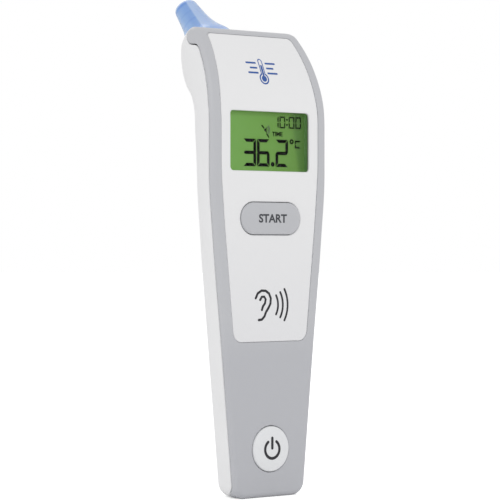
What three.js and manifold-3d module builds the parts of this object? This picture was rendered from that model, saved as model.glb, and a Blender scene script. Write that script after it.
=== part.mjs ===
// A digital ear thermometer: a slim handle with a display and two keys, and a tilted infrared
// probe under a pull-off cover. Millimetres. The handle stands along +Z, its front faces -Y.
// Inside this file y is counted from the flat front face, and z from a datum just above the base.
// The exported group is shifted so that its origin is the centre of the flat base.

import * as THREE from 'three';
import { mergeVertices } from 'three/addons/utils/BufferGeometryUtils.js';
import Module from 'manifold-3d';

const wasm = await Module();
wasm.setup();

// ---------------------------------------------------------------- driving dimensions

const TOP = 128.5;
const BASE = -0.75;
const BASE_CENTRE = 6;
const WALL = 1.7;
const PLATE = 2;
const PARTING = 1.45;
const SEAM = 0.25;
const FRONT_FLAT_TOP = 101.5;
const FRONT_RADIUS = 38;
const FRONT_EDGE = 1;
const SIDE_CORNER_BASE = 4.4;
const SIDE_CORNER_TOP = 2.2;
const REAR_CORNER_BASE = 4;

// [height, half width] and [height, depth of the rear wall] of the housing
const HALF_WIDTH = [[BASE, 12.15], [42, 16.15], [70, 18.85], [88, 20], [106, 20], [118, 19.2], [TOP, 17.9]];
const REAR_DEPTH = [
  [BASE, 14.8], [50, 16.4], [85, 16.7], [104, 18.9], [109, 21.4], [113, 26.4], [117, 29.3], [121, 29.9],
  [TOP, 28.3],
];
const SECTION_HEIGHTS = [
  BASE, -0.45, 0.4, 2, 4.25, 25, 45, 70, 79, 88, 101.5, 105, 108, 110.5, 113, 115.5, 118, 121, 124,
  126.3, 127.6, TOP,
];

const PANEL_LOW = 42;
const PANEL_HIGH = 126.6;
const PANEL_HALF_WIDTH = [[42, 12.7], [60, 14.45], [80, 16.3], [92, 17], [104, 17], [116, 16.1], [126.6, 14.6]];
const PANEL_THICKNESS = 0.85;
const PANEL_RECESS = 1.1;
const PANEL_CORNER_LOW = 2.6;
const PANEL_CORNER_HIGH = 1.2;

const DISPLAY_LOW = 88.9;
const DISPLAY_HIGH = 105.2;
const DISPLAY_HALF_WIDTH = 13.8;

const START_Z = 75.85;
const START_HALF_LENGTH = 10.35;
const START_RADIUS = 4.4;
const POWER_Z = 12.55;
const POWER_RADIUS = 6.25;
const KEY_PROUD = 0.55;

const LOBE_RADIUS = 2.6;
const LOBE_CENTRE = new THREE.Vector2(11.8, 126.8);

const PROBE_TILT = Math.PI / 4;
const PROBE_SEAT = new THREE.Vector3(0, 25.85, 123.55);
const PROBE_LENGTH = 19.2;
const NECK_RADIUS = 9.3;
const SEAT_HOLE_RADIUS = 5.9;

const BOARD_FRONT = 6.5;
const BOARD_BACK = 7.5;
const BATTERY_Z = 43;
const BATTERY_RADIUS = 10;
const BATTERY_FRONT = 8.1;
const BATTERY_BACK = 11.3;

const DOOR_LOW = 27;
const DOOR_HIGH = 62;
const DOOR_HALF_WIDTH = 11;
const DOOR_GAP = 0.3;
const DOOR_SCREW_Z = 58.6;

const CASE_SCREWS = [[-9.5, 66.5], [9.5, 66.5], [0, 22.6]];
const BOARD_SCREWS = [[-11, 60.5], [11, 60.5]];

// ---------------------------------------------------------------- geometry helpers

const FAR = 60;

// Welds a geometry to one list of shared points, without collapsed triangles, facing out.
function weld(geometry) {
  const bare = geometry.clone();
  bare.deleteAttribute('normal');
  bare.deleteAttribute('uv');
  const merged = mergeVertices(bare, 1e-4);
  const position = merged.attributes.position.array;
  const index = [];
  let volume = 0;
  const corners = [new THREE.Vector3(), new THREE.Vector3(), new THREE.Vector3()];
  for (let i = 0; i < merged.index.count; i += 3) {
    const [a, b, c] = merged.index.array.slice(i, i + 3);
    if (a === b || b === c || c === a) continue;
    index.push(a, b, c);
    [a, b, c].forEach((vertex, k) => corners[k].fromArray(position, vertex * 3));
    volume += corners[0].dot(corners[1].clone().cross(corners[2]));
  }
  if (volume < 0) {
    for (let i = 0; i < index.length; i += 3) {
      [index[i], index[i + 1]] = [index[i + 1], index[i]];
    }
  }
  const welded = new THREE.BufferGeometry();
  welded.setAttribute('position', new THREE.BufferAttribute(new Float32Array(position), 3));
  welded.setIndex(index);
  return welded;
}

function toSolid(geometry) {
  const welded = weld(geometry);
  return new wasm.Manifold(new wasm.Mesh({
    numProp: 3,
    vertProperties: welded.attributes.position.array,
    triVerts: new Uint32Array(welded.index.array),
  }));
}

function toGeometry(solid) {
  const mesh = solid.getMesh();
  const geometry = new THREE.BufferGeometry();
  geometry.setAttribute('position', new THREE.BufferAttribute(new Float32Array(mesh.vertProperties), 3));
  geometry.setIndex([...mesh.triVerts]);
  geometry.computeVertexNormals();
  return geometry;
}

// Turns a shape drawn in (x, z) into a solid between two depths.
function extrudeDepth(shape, front, back) {
  const settings = { depth: back - front, bevelEnabled: false, curveSegments: 4 };
  const geometry = new THREE.ExtrudeGeometry(shape, settings);
  const basis = new THREE.Matrix4().makeBasis(
    new THREE.Vector3(1, 0, 0),
    new THREE.Vector3(0, 0, 1),
    new THREE.Vector3(0, -1, 0),
  );
  return geometry.applyMatrix4(basis).translate(0, back, 0);
}

// Turns a shape drawn in (y, z) into a solid across the width.
function extrudeWidth(shape, left, right) {
  const geometry = new THREE.ExtrudeGeometry(shape, { depth: right - left, bevelEnabled: false });
  const basis = new THREE.Matrix4().makeBasis(
    new THREE.Vector3(0, 1, 0),
    new THREE.Vector3(0, 0, 1),
    new THREE.Vector3(1, 0, 0),
  );
  return geometry.applyMatrix4(basis).translate(left, 0, 0);
}

// Spins a closed outline of [radius, height] pairs about the local Z axis.
function spin(outline, segments = 32) {
  const points = [...outline, outline[0]].map(([radius, along]) => new THREE.Vector2(radius, along));
  return new THREE.LatheGeometry(points, segments).rotateX(Math.PI / 2);
}

function block(x0, x1, y0, y1, z0, z1) {
  const geometry = new THREE.BoxGeometry(x1 - x0, y1 - y0, z1 - z0);
  return geometry.translate((x0 + x1) / 2, (y0 + y1) / 2, (z0 + z1) / 2);
}

// A round pin along the depth, from y0 to y1.
function pin(radius, x, z, y0, y1, segments = 16) {
  return new THREE.CylinderGeometry(radius, radius, y1 - y0, segments).translate(x, (y0 + y1) / 2, z);
}

function roundedRectangle(halfWidth, low, high, corner) {
  const shape = new THREE.Shape();
  shape.moveTo(-halfWidth + corner, low);
  shape.lineTo(halfWidth - corner, low);
  shape.absarc(halfWidth - corner, low + corner, corner, -Math.PI / 2, 0);
  shape.absarc(halfWidth - corner, high - corner, corner, 0, Math.PI / 2);
  shape.absarc(-halfWidth + corner, high - corner, corner, Math.PI / 2, Math.PI);
  shape.absarc(-halfWidth + corner, low + corner, corner, Math.PI, Math.PI * 1.5);
  return shape;
}

// A smooth curve through [height, value] stations that never overshoots them.
function throughStations(stations) {
  const slopes = stations.map((_, i) => {
    if (i === 0 || i === stations.length - 1) return null;
    const [before, here, after] = stations.slice(i - 1, i + 2);
    const left = (here[1] - before[1]) / (here[0] - before[0]);
    const right = (after[1] - here[1]) / (after[0] - here[0]);
    return left * right <= 0 ? 0 : (2 * left * right) / (left + right);
  });
  const chord = (i) => (stations[i + 1][1] - stations[i][1]) / (stations[i + 1][0] - stations[i][0]);
  slopes[0] = chord(0);
  slopes[slopes.length - 1] = chord(stations.length - 2);
  return (height) => {
    const last = stations.length - 2;
    let i = stations.findIndex(([station]) => station > height) - 1;
    if (i < 0) i = height <= stations[0][0] ? 0 : last;
    const span = stations[i + 1][0] - stations[i][0];
    const t = THREE.MathUtils.clamp((height - stations[i][0]) / span, 0, 1);
    const start = stations[i][1] * (1 + 2 * t) * (1 - t) ** 2 + slopes[i] * span * t * (1 - t) ** 2;
    const end = stations[i + 1][1] * t * t * (3 - 2 * t) - slopes[i + 1] * span * t * t * (1 - t);
    return start + end;
  };
}

// How far a round corner stands in from its side, at a distance from the end face.
function cornerInset(distance, radius) {
  if (distance >= radius) return 0;
  return radius - Math.sqrt(radius ** 2 - (radius - Math.max(distance, 0)) ** 2);
}

// ---------------------------------------------------------------- housing form

const halfWidthAt = throughStations(HALF_WIDTH);
const rearDepthAt = throughStations(REAR_DEPTH);
const panelHalfWidthAt = throughStations(PANEL_HALF_WIDTH);

// Depth of the front surface, or of a layer parallel to it.
function frontDepthAt(z, layer = 0) {
  if (z <= FRONT_FLAT_TOP) return layer;
  return FRONT_RADIUS - Math.sqrt((FRONT_RADIUS - layer) ** 2 - (z - FRONT_FLAT_TOP) ** 2);
}

// The rear of a section is a superellipse, squarer on the handle than on the head.
function roundnessAt(z) {
  return THREE.MathUtils.mapLinear(THREE.MathUtils.clamp(z, 100, 116), 100, 116, 2.35, 2);
}

function sectionRing(z, inset, frontLayer) {
  const low = BASE + inset;
  const high = TOP - inset;
  const sideCorner = cornerInset(z - low, Math.max(SIDE_CORNER_BASE - inset, 0.6));
  const topCorner = cornerInset(high - z, Math.max(SIDE_CORNER_TOP - inset, 0.6));
  const rearCorner = cornerInset(z - low, Math.max(REAR_CORNER_BASE - inset, 0.6));
  const width = halfWidthAt(z) - inset - sideCorner - topCorner;
  const front = frontDepthAt(z, frontLayer);
  const side = Math.max(frontDepthAt(z, PARTING), front + FRONT_EDGE);
  const depth = rearDepthAt(z) - inset - rearCorner - side;
  const power = 2 / roundnessAt(z);
  const ring = [
    [-width + FRONT_EDGE, front],
    [width - FRONT_EDGE, front],
    [width - 0.3, front + 0.3],
    [width, front + FRONT_EDGE],
  ];
  const steps = 14;
  for (let i = 0; i <= steps; i += 1) {
    const angle = (Math.PI * i) / steps;
    const across = Math.sign(Math.cos(angle)) * Math.abs(Math.cos(angle)) ** power;
    const back = Math.max(Math.sin(angle), 0) ** power;
    ring.push([width * across, side + 0.02 + depth * back]);
  }
  ring.push([-width, front + FRONT_EDGE], [-width + 0.3, front + 0.3]);
  return ring.map(([x, y]) => [x, y, z]);
}

// A closed skin over rings of equal length, from the lowest to the highest.
function skin(rings) {
  const count = rings[0].length;
  const points = rings.flat();
  const index = [];
  for (let level = 0; level < rings.length - 1; level += 1) {
    for (let i = 0; i < count; i += 1) {
      const a = level * count + i;
      const b = level * count + ((i + 1) % count);
      index.push(a, b, b + count, a, b + count, a + count);
    }
  }
  [[0, true], [rings.length - 1, false]].forEach(([level, flip]) => {
    const ring = rings[level];
    const centre = [0, 1, 2].map((axis) => ring.reduce((sum, point) => sum + point[axis], 0) / count);
    points.push(centre);
    for (let i = 0; i < count; i += 1) {
      const a = level * count + i;
      const b = level * count + ((i + 1) % count);
      index.push(points.length - 1, flip ? b : a, flip ? a : b);
    }
  });
  const geometry = new THREE.BufferGeometry();
  geometry.setAttribute('position', new THREE.Float32BufferAttribute(points.flat(), 3));
  geometry.setIndex(index);
  return geometry;
}

// The housing's form, or the same form drawn in by an inset, with its front at a given layer.
function bodyForm(inset = 0, frontLayer = 0) {
  const scale = (TOP - BASE - 2 * inset) / (TOP - BASE);
  const heights = SECTION_HEIGHTS.map((z) => BASE + inset + (z - BASE) * scale);
  return toSolid(skin(heights.map((z) => sectionRing(z, inset, frontLayer))));
}

function frontCurve(layer, low, high) {
  const points = [];
  if (low < FRONT_FLAT_TOP) points.push(new THREE.Vector2(layer, low));
  const start = Math.max(low, FRONT_FLAT_TOP);
  const steps = 7;
  for (let i = 0; i <= steps; i += 1) {
    const z = start + ((high - start) * i) / steps;
    points.push(new THREE.Vector2(frontDepthAt(z, layer), z));
  }
  return points;
}

// The space between two layers that follow the front surface.
function frontBand(near, deep, low, high) {
  const outline = [...frontCurve(near, low, high), ...frontCurve(deep, low, high).reverse()];
  return toSolid(extrudeWidth(new THREE.Shape(outline), -FAR, FAR));
}

// All the space behind one layer of the front surface.
function behindFront(layer, low, high) {
  const outline = [...frontCurve(layer, low, high), new THREE.Vector2(FAR, high), new THREE.Vector2(FAR, low)];
  return toSolid(extrudeWidth(new THREE.Shape(outline), -FAR, FAR));
}

// Everything in front of the parting line, with the round lobes at the top of both sides.
function frontRegion(gap) {
  const parting = frontCurve(PARTING, 4, 123.2).map(({ x, y }) => new THREE.Vector2(x + gap, y));
  const foot = [[5, -5], [5, BASE], [3.7, 0.15], [2.5, 1.25], [1.7, 2.75]];
  const shape = new THREE.Shape();
  shape.moveTo(-FAR, -5);
  foot.forEach(([y, z]) => shape.lineTo(y + gap, z));
  parting.forEach(({ x, y }) => shape.lineTo(x, y));
  shape.lineTo(LOBE_CENTRE.x - 1.6, LOBE_CENTRE.y - LOBE_RADIUS - gap);
  const steps = 10;
  for (let i = 0; i <= steps; i += 1) {
    const angle = -Math.PI / 2 + (Math.PI * i) / steps;
    const radius = LOBE_RADIUS + gap;
    shape.lineTo(LOBE_CENTRE.x + radius * Math.cos(angle), LOBE_CENTRE.y + radius * Math.sin(angle));
  }
  shape.lineTo(LOBE_CENTRE.x, TOP + 10);
  shape.lineTo(-FAR, TOP + 10);
  return toSolid(extrudeWidth(shape, -FAR, FAR));
}

// ---------------------------------------------------------------- probe frame

const probeFrame = new THREE.Matrix4().makeRotationX(-PROBE_TILT).setPosition(PROBE_SEAT);

function alongProbe(geometry) {
  return toSolid(geometry.clone().applyMatrix4(probeFrame));
}

function disc(radius, low, high, segments = 32) {
  return spin([[0, low], [radius, low], [radius, high], [0, high]], segments);
}

function housingForm() {
  const behindSeat = alongProbe(new THREE.BoxGeometry(150, 150, 300).translate(0, 0, -150));
  const belowTop = toSolid(block(-FAR, FAR, -FAR, FAR, -FAR, TOP));
  const neck = alongProbe(disc(NECK_RADIUS, -22, 0, 36));
  return bodyForm().intersect(behindSeat).add(neck.intersect(belowTop));
}

// The room inside the housing, from a layer behind the front surface.
function cavityForm(layer) {
  const behindSeat = alongProbe(new THREE.BoxGeometry(150, 150, 300).translate(0, 0, -150 - WALL));
  const belowTop = toSolid(block(-FAR, FAR, -FAR, FAR, -FAR, TOP - WALL));
  const neck = alongProbe(disc(NECK_RADIUS - 1.4, -19, -WALL, 36));
  const neckRoom = neck.intersect(belowTop).intersect(behindFront(PLATE, 90, TOP));
  return bodyForm(WALL, layer).intersect(behindSeat).add(neckRoom);
}

const housing = housingForm();

// ---------------------------------------------------------------- front cover and panel

function panelOutline(grow) {
  const low = PANEL_LOW - grow;
  const high = PANEL_HIGH + grow;
  const heights = [0, 0.4, 1.2, 2.6, 18, 38, 46, 52, 62, 68, 74, 80, 83.4, 84.1, 84.6];
  const half = heights.map((step) => {
    const z = low + ((high - low) * step) / 84.6;
    const corners = cornerInset(z - low, PANEL_CORNER_LOW) + cornerInset(high - z, PANEL_CORNER_HIGH);
    return new THREE.Vector2(panelHalfWidthAt(z) + grow - corners, z);
  });
  const mirrored = half.map(({ x, y }) => new THREE.Vector2(-x, y)).reverse();
  return new THREE.Shape([...half, ...mirrored]);
}

// The outline of a round-ended key in (x, z).
function stadiumPoints(halfLength, radius, z) {
  const points = [];
  const steps = 8;
  [[halfLength - radius, -Math.PI / 2], [radius - halfLength, Math.PI / 2]].forEach(([x, start]) => {
    for (let i = 0; i <= steps; i += 1) {
      const angle = start + (Math.PI * i) / steps;
      points.push(new THREE.Vector2(x + radius * Math.cos(angle), z + radius * Math.sin(angle)));
    }
  });
  return points;
}

function stadium(halfLength, radius, z) {
  return new THREE.Shape(stadiumPoints(halfLength, radius, z));
}

function keyHoles() {
  const start = extrudeDepth(stadium(START_HALF_LENGTH + SEAM, START_RADIUS + SEAM, START_Z), -5, 5);
  const power = pin(POWER_RADIUS + SEAM, 0, POWER_Z, -5, 5, 36);
  return toSolid(start).add(toSolid(power));
}

function makeFrontCover() {
  const face = housing.intersect(frontRegion(0)).subtract(cavityForm(PLATE));
  const tray = bodyForm(WALL + 0.3, PARTING - 0.2).intersect(frontBand(PARTING - 0.2, 4.2, 2.2, 116));
  let cover = face.add(tray.subtract(bodyForm(WALL + 1.3, PLATE)));
  const posts = [...CASE_SCREWS, ...BOARD_SCREWS];
  posts.forEach(([x, z], i) => {
    const reach = i < CASE_SCREWS.length ? 7.8 : BOARD_FRONT - 0.2;
    cover = cover.add(toSolid(pin(2.1, x, z, PLATE - 0.3, reach)));
  });
  posts.forEach(([x, z]) => {
    cover = cover.subtract(toSolid(pin(1.25, x, z, PLATE + 0.6, 12)));
  });
  const recess = toSolid(extrudeDepth(panelOutline(0.2), -5, 30)).intersect(frontBand(-3, PANEL_RECESS, 30, 129));
  const lens = toSolid(extrudeDepth(roundedRectangle(15.3, 87.3, 106.6, 1), -5, 5));
  return cover.subtract(recess).subtract(lens).subtract(keyHoles());
}

function makeFacePanel() {
  const band = frontBand(0, PANEL_THICKNESS, 40, 128);
  const display = roundedRectangle(DISPLAY_HALF_WIDTH, DISPLAY_LOW, DISPLAY_HIGH, 1);
  const blank = toSolid(extrudeDepth(panelOutline(0), -5, 30)).intersect(band);
  return blank.subtract(toSolid(extrudeDepth(display, -5, 8))).subtract(keyHoles());
}

// ---------------------------------------------------------------- rear shell and battery door

// The door's outline in side view leans in at the top, so that its edge clears as it swings.
function doorPrism(gap) {
  const side = new THREE.Shape([
    new THREE.Vector2(9, DOOR_LOW - gap),
    new THREE.Vector2(25, DOOR_LOW - gap),
    new THREE.Vector2(25, DOOR_HIGH + gap + 0.9),
    new THREE.Vector2(9, DOOR_HIGH + gap - 0.7),
  ]);
  const outline = roundedRectangle(DOOR_HALF_WIDTH + gap, DOOR_LOW - gap, DOOR_HIGH + gap + 0.9, 2.5);
  return toSolid(extrudeWidth(side, -FAR, FAR)).intersect(toSolid(extrudeDepth(outline, 5, 30)));
}

function makeRearShell() {
  let shell = housing.subtract(frontRegion(SEAM));
  CASE_SCREWS.forEach(([x, z]) => {
    shell = shell.subtract(toSolid(pin(2.3, x, z, 11.9, 25)));
  });
  shell = shell.subtract(cavityForm(PARTING - FRONT_EDGE));
  const seatHole = alongProbe(disc(SEAT_HOLE_RADIUS, -4, 4));
  shell = shell.subtract(seatHole).subtract(doorPrism(DOOR_GAP));
  const bosses = CASE_SCREWS.map(([x, z]) => {
    const tube = toSolid(pin(2.9, x, z, 8.1, 25)).intersect(housing);
    const bore = toSolid(pin(1.3, x, z, 7, 12)).add(toSolid(pin(2.3, x, z, 11.9, 25)));
    return tube.subtract(bore);
  });
  bosses.forEach((boss) => {
    shell = shell.add(boss);
  });
  return shell;
}

function makeBatteryDoor() {
  const prism = doorPrism(0);
  let door = housing.intersect(prism).subtract(bodyForm(WALL, PLATE));
  const pillar = toSolid(pin(2.9, 0, DOOR_SCREW_Z, 12.5, 25)).intersect(housing).intersect(prism);
  door = door.add(pillar);
  [-1, 1].forEach((side) => {
    const [x0, x1] = side < 0 ? [-7, -4] : [4, 7];
    const tongue = toSolid(block(x0, x1, 10.6, 11.9, 25.2, 28.6));
    const root = toSolid(block(x0, x1, 10.6, 14, 27.2, 28.6)).intersect(housing);
    door = door.add(tongue).add(root);
  });
  const screwHole = toSolid(pin(1.25, 0, DOOR_SCREW_Z, 10, 25)).add(toSolid(pin(2.2, 0, DOOR_SCREW_Z, 13.7, 25)));
  return door.subtract(screwHole);
}

// ---------------------------------------------------------------- screws

// A cross-recess screw along the depth: its head faces the back.
function makeScrew(x, z, tip, seat, headRadius = 1.95) {
  const head = toSolid(pin(headRadius, x, z, seat, seat + 1.2));
  const shank = toSolid(pin(1, x, z, tip, seat + 0.1, 16));
  const slots = [[1.3, 0.28], [0.28, 1.3]].map(([across, up]) => (
    toSolid(block(x - across, x + across, seat + 0.5, seat + 2, z - up, z + up))
  ));
  return head.add(shank).subtract(slots[0]).subtract(slots[1]);
}

// ---------------------------------------------------------------- keys

function makeStartButton() {
  const edge = [[2.4, 0], [-0.2, 0], [-0.45, 0.1], [-KEY_PROUD, 0.35]];
  const rings = edge.map(([y, inset]) => (
    stadiumPoints(START_HALF_LENGTH - inset, START_RADIUS - inset, START_Z).map((point) => [point.x, y, point.y])
  ));
  const flange = toSolid(extrudeDepth(stadium(START_HALF_LENGTH + 0.9, START_RADIUS + 0.9, START_Z), 2.25, 3));
  return toSolid(skin(rings)).add(flange).add(toSolid(pin(1.6, 0, START_Z, 2.9, 3.7)));
}

function makePowerButton() {
  const cap = spin([
    [0, -2.4], [POWER_RADIUS, -2.4], [POWER_RADIUS, 0.2], [POWER_RADIUS - 0.35, KEY_PROUD], [0, KEY_PROUD],
  ], 36).rotateX(Math.PI / 2).translate(0, 0, POWER_Z);
  const flange = toSolid(pin(POWER_RADIUS + 0.8, 0, POWER_Z, 2.25, 3, 36));
  return toSolid(cap).add(flange).add(toSolid(pin(1.6, 0, POWER_Z, 2.9, 3.7)));
}

function makeSwitch(z) {
  const base = toSolid(block(-3, 3, 4.5, BOARD_FRONT - 0.1, z - 3, z + 3));
  return base.subtract(toSolid(pin(1.75, 0, z, 4, 5.95)));
}

// ---------------------------------------------------------------- display stack

function ringPlate(outer, inner, front, back) {
  return toSolid(extrudeDepth(outer, front, back)).subtract(toSolid(extrudeDepth(inner, front - 1, back + 1)));
}

function makeDisplayGasket() {
  return ringPlate(roundedRectangle(14.9, 87.6, 106.2, 1), roundedRectangle(14, 88.5, 105.6, 1), 2.35, 2.6);
}

function makeDisplayFrame() {
  return ringPlate(roundedRectangle(15.9, 85.6, 107.6, 1), roundedRectangle(14.9, 86.4, 106.8, 0.5), 2.75, 6.3);
}

// ---------------------------------------------------------------- circuit board

function makeMainBoard() {
  const outline = new THREE.Shape([
    new THREE.Vector2(-8.6, 5.5), new THREE.Vector2(8.6, 5.5), new THREE.Vector2(15.6, 74),
    new THREE.Vector2(15.6, 105.5), new THREE.Vector2(-15.6, 105.5), new THREE.Vector2(-15.6, 74),
  ]);
  let board = toSolid(extrudeDepth(outline, BOARD_FRONT, BOARD_BACK));
  CASE_SCREWS.forEach(([x, z]) => {
    board = board.subtract(toSolid(pin(2.4, x, z, 5, 9)));
  });
  BOARD_SCREWS.forEach(([x, z]) => {
    board = board.subtract(toSolid(pin(1.3, x, z, 5, 9)));
  });
  return board;
}

// ---------------------------------------------------------------- battery

function makeBatteryHolder() {
  const ring = toSolid(pin(BATTERY_RADIUS + 1.1, 0, BATTERY_Z, 7.7, 9.8, 36));
  const pocket = toSolid(pin(BATTERY_RADIUS + 0.3, 0, BATTERY_Z, 7, 12, 36));
  const boss = toSolid(pin(2.6, 0, DOOR_SCREW_Z, 7.7, 12.2));
  const rib = toSolid(block(-1.2, 1.2, 7.7, 9.8, BATTERY_Z + 10.6, DOOR_SCREW_Z - 2));
  return ring.add(rib).subtract(pocket).add(boss).subtract(toSolid(pin(1.5, 0, DOOR_SCREW_Z, 8.6, 14)));
}

function makePositiveContact() {
  const outline = [[7.6, 28.9], [7.9, 28.9], [11.6, 28.9], [11.9, 29], [11.9, 38], [11.6, 38], [11.6, 29.2]];
  const foot = [[7.9, 29.2], [7.9, 31.4], [7.6, 31.4]];
  const shape = new THREE.Shape([...outline, ...foot].map(([y, z]) => new THREE.Vector2(y, z)));
  return extrudeWidth(shape, -2, 2);
}

function makeNegativeContact() {
  const disk = toSolid(pin(4.5, 0, BATTERY_Z, 7.6, 7.9, 24));
  return disk.add(toSolid(block(-1.5, 1.5, 7.6, 7.9, BATTERY_Z - 8.5, BATTERY_Z)));
}

// ---------------------------------------------------------------- probe, in its own frame

const COVER_OUTLINE = [
  [7.3, 0.25], [7.3, 0.8], [7.2, 2.7], [6.6, 4], [5.95, 5.5], [5.2, 7.7], [4.55, 10], [4.1, 12.4],
  [3.72, 15.6], [3.42, 18.3], [3.2, 18.95], [2.9, PROBE_LENGTH],
];

function makeProbeCover() {
  const inner = [
    [2.6, 19], [2.6, 18.65], [3, 18.2], [3.3, 15.6], [3.66, 12.4], [4.1, 10], [4.75, 7.7], [5.5, 5.4],
    [6.2, 3.8], [6.7, 2.5], [6.8, 0.25],
  ];
  const film = [[0, 19], [0, 18.65]];
  return spin([...COVER_OUTLINE, [2.7, PROBE_LENGTH - 0.15], inner[0], ...film, ...inner.slice(1)], 32);
}

function makeProbeBarrel() {
  return spin([
    [6.5, -3.6], [6.5, -2.6], [4.9, -2.6], [4.9, 2.2], [3.3, 4], [3.3, 8.6], [3.05, 8.9], [3.05, 12.3],
    [2.85, 12.6], [2.85, 17.1], [2.5, 17.6], [2.05, 17.6], [2.05, 2], [4.2, 2], [4.2, -3.6],
  ], 24);
}

function makeProbeCollar() {
  return spin([
    [5.2, -1.6], [5.6, -1.6], [5.6, 0.25], [6.35, 0.25], [6.35, 0.5], [6.5, 0.8], [6.35, 1.1], [5.2, 1.1],
  ], 24);
}

function makeSensorHeader() {
  let header = toSolid(disc(2.7, -1.8, -1.2, 24));
  for (let i = 0; i < 4; i += 1) {
    const leg = disc(0.22, -2.65, -1.7, 8).translate(1.5, 0, 0);
    header = header.add(toSolid(leg.rotateZ((Math.PI / 2) * i)));
  }
  return toGeometry(header);
}

function tube(inner, outer, low, high, segments = 28) {
  return spin([[inner, low], [outer, low], [outer, high], [inner, high]], segments);
}

// The flex cable drops from the sensor board to its connector in one soft bend.
function makeSensorFlex() {
  const route = new THREE.CatmullRomCurve3(
    [[22.5, 120.7], [17.5, 117.5], [12.2, 113], [9.9, 108.5], [9.4, 104.8]]
      .map(([y, z]) => new THREE.Vector3(y, z, 0)),
  );
  const thickness = 0.15;
  const near = [];
  const deep = [];
  const steps = 14;
  for (let i = 0; i <= steps; i += 1) {
    const point = route.getPoint(i / steps);
    const along = route.getTangent(i / steps);
    near.push(new THREE.Vector2(point.x + along.y * thickness, point.y - along.x * thickness));
    deep.push(new THREE.Vector2(point.x - along.y * thickness, point.y + along.x * thickness));
  }
  return extrudeWidth(new THREE.Shape([...near, ...deep.reverse()]), -2.5, 2.5);
}

// ---------------------------------------------------------------- materials

function material(color, roughness, metalness = 0, opacity = 1) {
  return new THREE.MeshStandardMaterial({
    color, roughness, metalness, opacity, transparent: opacity < 1,
  });
}

const WHITE_SHELL = material('#e6e6e5', 0.45);
const GREY_COVER = material('#bfc1c4', 0.5);
const WHITE_PANEL = material('#e6e8e7', 0.25);
const CLEAR_LENS = material('#dfe8df', 0.05, 0, 0.3);
const KEY_GREY = material('#bcbdc1', 0.5);
const KEY_WHITE = material('#e1e2e4', 0.4);
const COVER_BLUE = material('#9ab4e0', 0.25, 0, 0.7);
const PROBE_BLUE = material('#6f94d2', 0.4);
const LCD_GREEN = material('#72994f', 0.2);
const BOARD_GREEN = material('#1f6b3f', 0.5);
const CHIP_BLACK = material('#1c1d20', 0.5);
const STEEL = material('#b9bcc0', 0.3, 0.9);
const GOLD = material('#d7b25a', 0.25, 0.9);
const NATURAL_PLASTIC = material('#d9dad6', 0.6);
const RUBBER = material('#3a3b3e', 0.9);
const FLEX_AMBER = material('#b8762c', 0.5);

// ---------------------------------------------------------------- assembly

const thermometer = new THREE.Group();
thermometer.position.set(0, -BASE_CENTRE, -BASE);
const probe = new THREE.Group();
probe.position.copy(PROBE_SEAT);
probe.rotation.x = -PROBE_TILT;
thermometer.add(probe);

function add(parent, name, shape, surface) {
  const geometry = shape.getMesh ? toGeometry(shape) : toGeometry(toSolid(shape));
  const mesh = new THREE.Mesh(geometry, surface);
  mesh.name = name;
  parent.add(mesh);
}

add(thermometer, 'front_cover', makeFrontCover(), GREY_COVER);
add(thermometer, 'rear_shell', makeRearShell(), WHITE_SHELL);
add(thermometer, 'face_panel', makeFacePanel(), WHITE_PANEL);
CASE_SCREWS.forEach(([x, z], i) => {
  add(thermometer, `case_screw_${i + 1}`, makeScrew(x, z, 3.4, 12.05), STEEL);
});

add(thermometer, 'display_window', extrudeDepth(roundedRectangle(15.05, 87.6, 106.3, 1), 1.4, 2.15), CLEAR_LENS);
add(thermometer, 'display_gasket', makeDisplayGasket(), RUBBER);
add(thermometer, 'lcd_frame', makeDisplayFrame(), NATURAL_PLASTIC);
add(thermometer, 'lcd_glass', block(-14.6, 14.6, 2.8, 4.3, 86.6, 106.6), LCD_GREEN);
add(thermometer, 'backlight_guide', block(-13.9, 13.9, 4.5, 6.2, 88.6, 106.4), CLEAR_LENS);
add(thermometer, 'lcd_connector', block(-13, 13, 4.5, 6.3, 86.7, 88.3), RUBBER);
[[-1, 'left'], [1, 'right']].forEach(([side, name]) => {
  const x = side * 14.4;
  add(thermometer, `backlight_led_${name}`, block(x - 0.35, x + 0.35, 4.6, 6.3, 96, 98.4), NATURAL_PLASTIC);
});

add(thermometer, 'start_button', makeStartButton(), KEY_GREY);
add(thermometer, 'start_plunger', pin(1.4, 0, START_Z, 3.9, 5.2), RUBBER);
add(thermometer, 'start_switch', makeSwitch(START_Z), STEEL);
add(thermometer, 'power_button', makePowerButton(), KEY_WHITE);
add(thermometer, 'power_plunger', pin(1.4, 0, POWER_Z, 3.9, 5.2), RUBBER);
add(thermometer, 'power_switch', makeSwitch(POWER_Z), STEEL);

add(thermometer, 'main_board', makeMainBoard(), BOARD_GREEN);
BOARD_SCREWS.forEach(([x, z], i) => {
  add(thermometer, `board_screw_${i + 1}`, makeScrew(x, z, 3.4, 7.65, 1.9), STEEL);
});
add(thermometer, 'controller_chip', block(-5, 5, 7.65, 9.1, 83, 93), CHIP_BLACK);
add(thermometer, 'memory_chip', block(8, 12.5, 7.65, 8.9, 84, 88), CHIP_BLACK);
add(thermometer, 'crystal', block(-12.5, -8, 7.65, 9, 85, 88), STEEL);
add(thermometer, 'capacitor_1', pin(1.6, 10, 93.5, 7.65, 10.6), CHIP_BLACK);
add(thermometer, 'capacitor_2', pin(1.6, -10, 93.5, 7.65, 10.6), CHIP_BLACK);
add(thermometer, 'buzzer', pin(5, 0, 74.5, 7.65, 11.2, 32), CHIP_BLACK);
add(thermometer, 'flex_connector', block(-4, 4, 7.65, 8.9, 100.5, 104.4), NATURAL_PLASTIC);

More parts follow.
